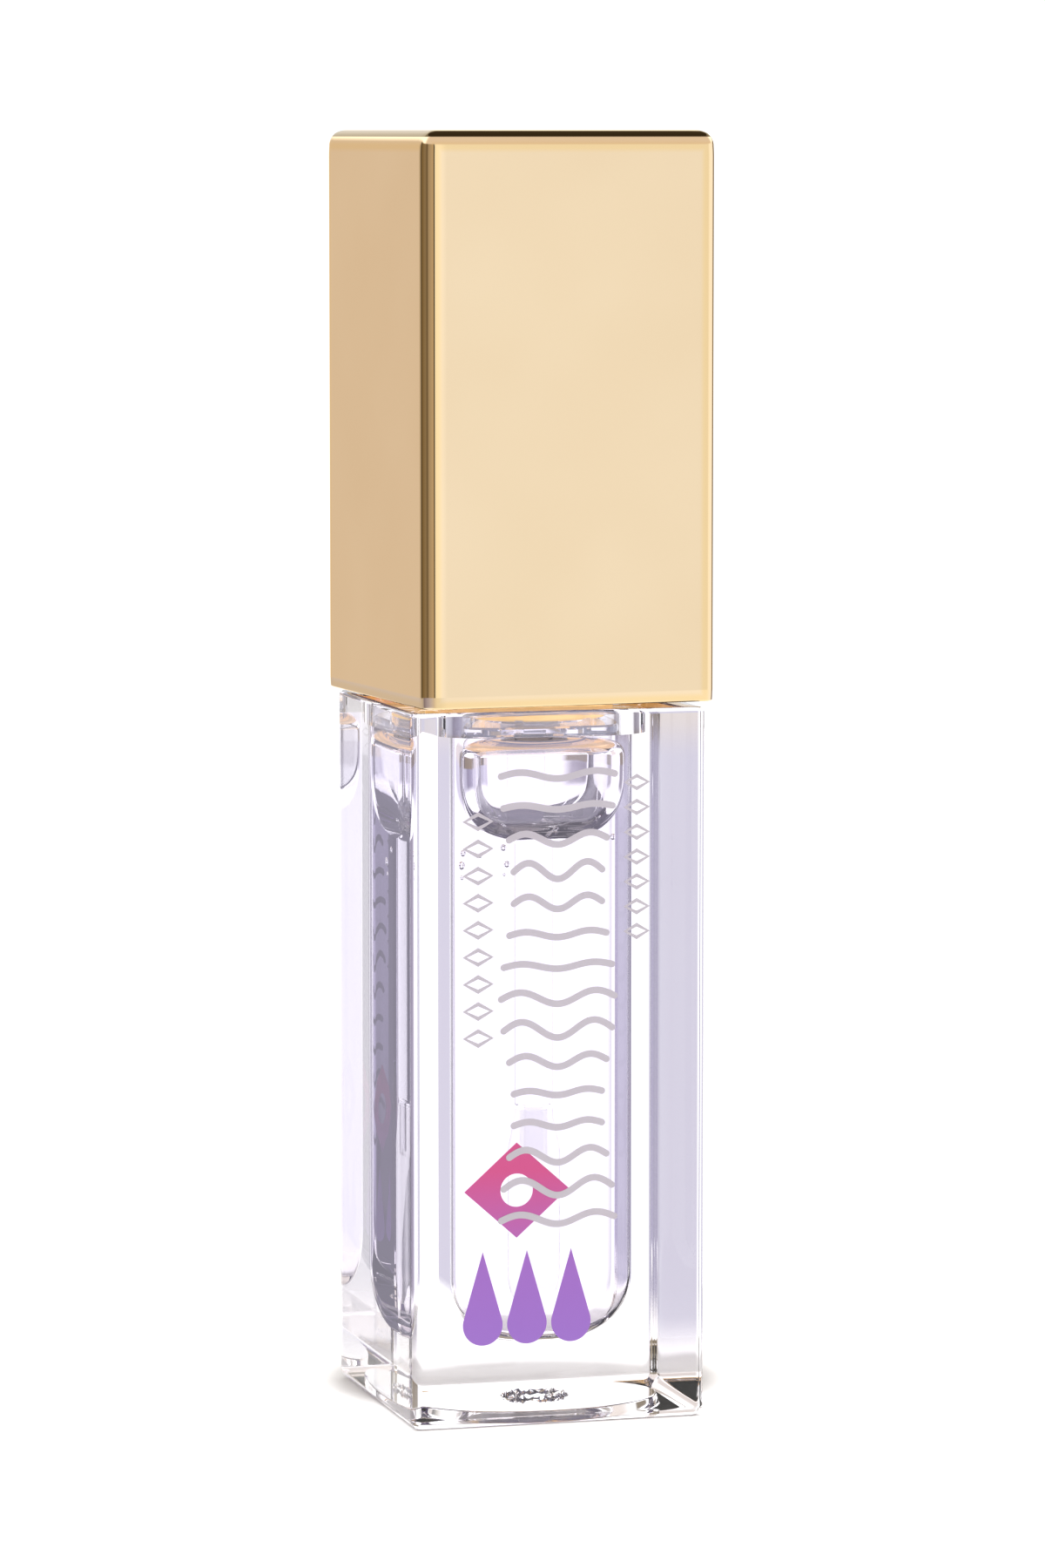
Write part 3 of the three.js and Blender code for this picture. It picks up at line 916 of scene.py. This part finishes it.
def tip_outline(low):
    """A round nose, a straight body, a taper up to the stem, and the socket for the stem's pin."""
    body_low, body_high = low + TIP_NOSE, tip_high.z - TIP_TAPER
    nose_steps, body_steps, taper_steps = 14, 60, 15
    outline = []
    for i in range(1, nose_steps + 1):
        angle = math.pi / 2 * i / nose_steps
        outline.append((TIP_RADIUS * math.sin(angle), low + TIP_NOSE * (1 - math.cos(angle))))
    body = body_high - body_low
    outline += [(TIP_RADIUS, body_low + body * i / body_steps) for i in range(1, body_steps)]
    for i in range(taper_steps + 1):
        share = i / taper_steps
        drawn_in = (TIP_RADIUS - STEM_RADIUS) * (3 - 2 * share) * share ** 2
        outline.append((TIP_RADIUS - drawn_in, body_high + TIP_TAPER * share))
    return outline + [(TIP_SOCKET, tip_high.z), (TIP_SOCKET, tip_high.z - TIP_SOCKET_DEPTH)]


def tip():
    """The slanted, flocked tip. Its surface is roughened by the flock's own relief."""
    low = tip_low.z - TIP_LOWER
    made = turned("wand_tip", tip_outline(low))
    random.seed(7)
    for vert in made.data.vertices:
        flat = -(vert.co.z - low - TIP_HEEL) * TIP_SLANT
        vert.co.y = max(vert.co.y, flat)
        if vert.co.xy.length > TIP_SOCKET + 0.1 * MM:
            vert.co += Vector((vert.co.x, vert.co.y, 0)).normalized() * random.uniform(-FUZZ, 0)
    turn_with_cap(made)
    look = soft_plastic("flock", FLOCK_TINT, (0.35, 0.5), 0.01 * MM)
    look = sunk_in_gloss(look, "Transmission Weight", FLOCK_THROUGH, FLOCK_THROUGH_WET)
    made.data.materials.append(sunk_in_gloss(look, "IOR", FLOCK_INDEX, FLOCK_INDEX_WET))
    fitted(made, "applicator_tip", "cap")


# ======================= the printing =======================


def printed(name, shapes, depth, look):
    """Thin printed shapes on the front face. Each is a list of closed outlines of (x, z), holes included."""
    mesh = bpy.data.meshes.new(name)
    work = bmesh.new()
    for outlines in shapes:
        edges = []
        for outline in outlines:
            verts = [work.verts.new((x, INK_FACE - depth, z)) for x, z in outline]
            edges += [work.edges.new((a, b)) for a, b in zip(verts, verts[1:] + verts[:1])]
        bmesh.ops.triangle_fill(work, use_beauty=True, use_dissolve=False, edges=edges, normal=(0, -1, 0))
    bmesh.ops.recalc_face_normals(work, faces=work.faces)
    for face in work.faces:
        if face.normal.y > 0:
            face.normal_flip()
    bmesh.ops.solidify(work, geom=work.faces[:], thickness=INK_THICK)
    bmesh.ops.recalc_face_normals(work, faces=work.faces)
    work.to_mesh(mesh)
    work.free()
    made = finish_mesh(name, mesh)
    made.data.materials.append(look)
    fitted(made, None, "bottle")


def stroke(points):
    """The outline of an inked line through points, with round ends."""
    half = INK_STROKE / 2
    left, right = [], []
    for i, point in enumerate(points):
        along = (points[min(i + 1, len(points) - 1)] - points[max(i - 1, 0)]).normalized()
        side = Vector((-along.y, along.x)) * half
        left.append(point + side)
        right.append(point - side)
    ends = []
    for point, before in ((points[-1], points[-2]), (points[0], points[1])):
        along = (point - before).normalized()
        side = Vector((-along.y, along.x))
        ends.append([point + (side * c + along * s) * half for c, s in list(arc(1, 8, 0, 180))[1:-1]])
    return [tuple(p) for p in left + ends[0] + right[::-1] + ends[1]]


def lozenge(x, z, wide, tall):
    """A lozenge's four corners."""
    return [(x + wide / 2, z), (x, z + tall / 2), (x - wide / 2, z), (x, z - tall / 2)]


def circle(x, z, radius):
    """A circle's points."""
    steps = 40
    turns = [2 * math.pi * i / steps for i in range(steps)]
    return [(x + radius * math.cos(a), z + radius * math.sin(a)) for a in turns]


def droplet(x, z, radius, tall):
    """A drop with a round belly at the bottom and a pointed top."""
    reach = tall - radius
    tangent = math.asin(radius / reach)
    start, end = tangent, math.pi - tangent
    steps = 30
    sweep = [start - (2 * math.pi - (end - start)) * i / steps for i in range(steps + 1)]
    belly = [(x + radius * math.cos(a), z + radius * (1 + math.sin(a))) for a in sweep]
    return [(x, z + tall)] + belly


def ripples():
    """The main column: short ripples stacked up the face, each swinging further or less than the last."""
    steps = 32
    for row in range(RIPPLES):
        z = RIPPLE_LOW + (RIPPLE_HIGH - RIPPLE_LOW) * row / (RIPPLES - 1)
        swing = (0.35 + 0.2 * math.sin(row * 1.3)) * MM
        draw_in = (0.9 - 0.9 * math.cos(row * 0.9)) * 0.5 * MM
        span = RIPPLE_RIGHT - RIPPLE_LEFT - 2 * draw_in
        line = []
        for i in range(steps + 1):
            share = i / steps
            height = z + swing * math.sin(share * 3 * math.pi)
            line.append(Vector((RIPPLE_LEFT + draw_in + span * share, height)))
        yield [stroke(line)]


def lozenge_column(x, low, high, count, wide, tall, line):
    """Outlined lozenges stacked up the face."""
    for row in range(count):
        z = low + (high - low) * row / (count - 1)
        yield [lozenge(x, z, wide, tall), lozenge(x, z, wide - 2.4 * line, tall - 2.4 * line)]


def printing():
    """The four printed pieces: ripples, two columns of lozenges, three drops and a pierced lozenge."""
    lilac = ink("ink_lilac", (INK_LILAC, INK_LILAC), 0.0, SHOULDER, 0.88)
    printed("print_ripples", list(ripples()), 2 * INK_THICK, lilac)
    small = list(lozenge_column(-5.55 * MM, 25.8 * MM, 40.0 * MM, 9, 2.1 * MM, 1.25 * MM, 0.24 * MM))
    small += list(lozenge_column(5.2 * MM, 32.5 * MM, 42.3 * MM, 7, 1.8 * MM, 1.1 * MM, 0.22 * MM))
    printed("print_lozenges", small, 2 * INK_THICK, lilac)
    drops = [[droplet(x, DROP_FOOT, DROP_RADIUS, DROP_TALL)] for x in DROPS_ACROSS]
    printed("print_drops", drops, 0.0, ink("ink_violet", DROP_COLOURS, 5 * MM, 12 * MM))
    gem = [lozenge(*GEM_MIDDLE, GEM_WIDE, GEM_TALL), circle(*GEM_MIDDLE, GEM_HOLE)]
    printed("print_gem", [gem], 0.0, ink("ink_magenta", GEM_COLOURS, 12.5 * MM, 17 * MM))


# ======================= floor, light and camera =======================


SHADOW_MIDDLE = (2 * MM, 6.5 * MM, 0)
SHADOW_RADIUS = 14.8 * MM
FLOOR_GLOW = 0.68
FLOOR_RADIUS = 34 * MM
FLOOR_FADE = 12 * MM  # radius at which the floor begins to fade into the backdrop


def distance_from(tree, place, middle):
    """How far a place is from a middle."""
    made = tree.nodes.new("ShaderNodeVectorMath")
    made.operation = "DISTANCE"
    made.inputs[1].default_value = middle
    tree.links.new(place, made.inputs[0])
    return made.outputs["Value"]


def floor_look():
    """Pale, and faded out at the rim. It glows like a light table, but not under or just behind the tube,
    where the missing glow paints a shadow.
    """
    look, tree, shader = material("pale_floor")
    shader.inputs["Base Color"].default_value = (0.85, 0.85, 0.85, 1)
    shader.inputs["Roughness"].default_value = 0.7
    shader.inputs["Emission Color"].default_value = (1, 1, 1, 1)
    place = tree.nodes.new("ShaderNodeTexCoord").outputs["Object"]
    split = object_place(tree)
    across = worked_out(tree, "ABSOLUTE", split["X"])
    along = worked_out(tree, "ABSOLUTE", split["Y"])
    # Painted shadow: the glow is cut under the tube's footprint and in a disc just behind it.
    beside = smooth_step(tree, worked_out(tree, "MAXIMUM", across, along), 0.94 * HALF, HALF)
    from_shadow = distance_from(tree, place, SHADOW_MIDDLE)
    behind = smooth_step(tree, from_shadow, 0.8 * SHADOW_RADIUS, SHADOW_RADIUS)
    light = worked_out(tree, "MULTIPLY", worked_out(tree, "MULTIPLY", beside, behind), FLOOR_GLOW)
    tree.links.new(light, shader.inputs["Emission Strength"])
    fade = smooth_step(tree, distance_from(tree, place, (0, 0, 0)), FLOOR_FADE, FLOOR_RADIUS, 1.0, 0.0)
    tree.links.new(fade, shader.inputs["Alpha"])
    return look


def floor():
    """A pale disc that the tube stands on."""
    mesh = bpy.data.meshes.new("floor")
    work = bmesh.new()
    bmesh.ops.create_circle(work, cap_ends=True, segments=128, radius=FLOOR_RADIUS)
    work.to_mesh(mesh)
    work.free()
    made = bpy.data.objects.new("floor", mesh)
    bpy.context.scene.collection.objects.link(made)
    made.data.materials.append(floor_look())


def grey(level):
    """A grey of that brightness."""
    return (level, level, level)


# The studio's panels and gaps by azimuth in degrees, where 0 is in front and 90 is to the right.
# The first table is for directions level with the tube or above it, and the second for those a little below.
STUDIO_HIGH = (
    (-180, grey(1.2)), (-171, grey(1.15)), (-165, (0.79, 0.71, 0.66)), (-153, (0.79, 0.71, 0.66)),
    (-149, (0.06, 0.045, 0.03)), (-143, (0.06, 0.045, 0.03)), (-136, (0.24, 0.18, 0.1)),
    (-119, (0.24, 0.18, 0.1)), (-90, (0.3, 0.23, 0.14)), (-66, (0.16, 0.12, 0.07)),
    (-54, (0.42, 0.34, 0.23)), (-6, (0.6, 0.48, 0.34)),
    (-3, grey(0.03)), (4, grey(0.03)), (8, grey(1.0)), (19, grey(1.2)), (24, grey(1.03)), (45, grey(1.0)),
    (60, grey(1.2)), (105, grey(1.15)), (111, (0.26, 0.21, 0.15)), (145, (0.26, 0.21, 0.15)),
    (151, grey(1.15)), (180, grey(1.2)),
)
STUDIO_LOW = (
    (-180, grey(1.25)), (-171, grey(1.2)), (-166, (0.66, 0.63, 0.74)), (-157, (0.72, 0.7, 0.8)),
    (-146, (0.6, 0.58, 0.68)), (-128, (0.52, 0.5, 0.6)), (-115, (0.26, 0.23, 0.32)),
    (-82, (0.42, 0.39, 0.52)), (-60, (0.5, 0.47, 0.6)), (-45, (0.58, 0.55, 0.66)), (-5, (0.75, 0.7, 0.72)),
    (20, grey(1.0)), (26, grey(1.15)), (100, grey(1.2)), (112, (0.27, 0.24, 0.29)),
    (140, (0.42, 0.39, 0.45)), (150, grey(1.2)), (180, grey(1.25)),
)

# Heights here are sines of an elevation.
SWITCH_LOW, SWITCH_HIGH = -0.098, -0.089  # the low table gives way to the high one
DOME_LOW, DOME_HIGH = 0.17, 0.34  # the panels give way to the dome
DOME_BLEND = 0.3  # how far either side of the middle its front gives way to its back
DOME_FRONT = (0.88, 0.78, 0.7)
DOME_BACK = grey(1.7)
CEILING = (0.34, 0.28, 0.2)
CEILING_TILT = (0.07, 0.25, 0.966)  # the bronze ceiling hangs a little behind the tube
CEILING_LOW, CEILING_HIGH = 0.83, 0.87
BELOW = grey(1.3)
BELOW_HIGH, BELOW_LOW = -0.24, -0.4
BACKDROP = grey(1.2)


def share_of_turn(tree, split):
    """A direction's azimuth as a share of a turn: 0.5 in front of the tube, 0 and 1 behind it."""
    backward = worked_out(tree, "MULTIPLY", split["Y"], -1.0)
    azimuth = worked_out(tree, "ARCTAN2", split["X"], backward)
    turn = tree.nodes.new("ShaderNodeMapRange")
    turn.inputs["From Min"].default_value = -math.pi
    turn.inputs["From Max"].default_value = math.pi
    tree.links.new(azimuth, turn.inputs["Value"])
    return turn.outputs["Result"]


def panels(tree, turn, table):
    """The colours of a table of (azimuth, colour) along a share of a turn."""
    ramp = tree.nodes.new("ShaderNodeValToRGB")
    stops = ramp.color_ramp.elements
    while len(stops) < len(table):
        stops.new(0.5)
    for stop, (degrees, colour) in zip(stops, table):
        stop.position = (degrees + 180) / 360
        stop.color = (*colour, 1)
    tree.links.new(turn, ramp.inputs["Fac"])
    return ramp.outputs["Color"]


def mixed(tree, share, first, second):
    """Goes from the first colour or socket to the second as the share goes from 0 to 1."""
    mix = tree.nodes.new("ShaderNodeMix")
    mix.data_type = "RGBA"
    tree.links.new(share, mix.inputs["Factor"])
    for socket, value in (("A", first), ("B", second)):
        if isinstance(value, tuple):
            mix.inputs[socket].default_value = (*value, 1)
        else:
            tree.links.new(value, mix.inputs[socket])
    return mix.outputs["Result"]


def studio():
    """A soft studio as the world. The camera itself sees it as a plain white backdrop."""
    world = bpy.data.worlds.new("studio")
    bpy.context.scene.world = world
    world.use_nodes = True
    tree = world.node_tree
    direction = tree.nodes.new("ShaderNodeTexCoord").outputs["Generated"]
    separate = tree.nodes.new("ShaderNodeSeparateXYZ")
    tree.links.new(direction, separate.inputs["Vector"])
    split = separate.outputs
    height = split["Z"]
    turn = share_of_turn(tree, split)
    dome = mixed(tree, smooth_step(tree, split["Y"], -DOME_BLEND, DOME_BLEND), DOME_FRONT, DOME_BACK)
    overhead = tree.nodes.new("ShaderNodeVectorMath")
    overhead.operation = "DOT_PRODUCT"
    overhead.inputs[1].default_value = CEILING_TILT
    tree.links.new(direction, overhead.inputs[0])

    above = smooth_step(tree, height, SWITCH_LOW, SWITCH_HIGH)
    colour = mixed(tree, above, panels(tree, turn, STUDIO_LOW), panels(tree, turn, STUDIO_HIGH))
    colour = mixed(tree, smooth_step(tree, height, DOME_LOW, DOME_HIGH), colour, dome)
    near_ceiling = smooth_step(tree, overhead.outputs["Value"], CEILING_LOW, CEILING_HIGH)
    colour = mixed(tree, near_ceiling, colour, CEILING)
    colour = mixed(tree, smooth_step(tree, height, BELOW_HIGH, BELOW_LOW), colour, BELOW)
    path = tree.nodes.new("ShaderNodeLightPath")
    colour = mixed(tree, path.outputs["Is Camera Ray"], colour, BACKDROP)
    tree.links.new(colour, tree.nodes["Background"].inputs["Color"])


def camera():
    """The camera stands level with the cap's top and looks down at the tube's middle."""
    back = Vector((math.sin(CAMERA_AZIMUTH), -math.cos(CAMERA_AZIMUTH), 0))
    right = Vector((math.cos(CAMERA_AZIMUTH), math.sin(CAMERA_AZIMUTH), 0)) * CAMERA_RIGHT
    data = bpy.data.cameras.new("camera")
    data.lens = CAMERA_LENS
    data.clip_start = 0.01
    made = bpy.data.objects.new("camera", data)
    bpy.context.scene.collection.objects.link(made)
    made.location = back * CAMERA_DISTANCE + right + Vector((0, 0, TOP))
    aim = right + Vector((0, 0, TOP * AIM_HEIGHT))
    made.rotation_euler = (aim - made.location).to_track_quat("-Z", "Y").to_euler()
    bpy.context.scene.camera = made


camera()
studio()
floor()
bpy.context.scene.view_settings.view_transform = "Standard"
bottle()
neck()
wiper()
gloss()
cap_shell()
inner_cap()
washer()
stem()
tip()
printing()
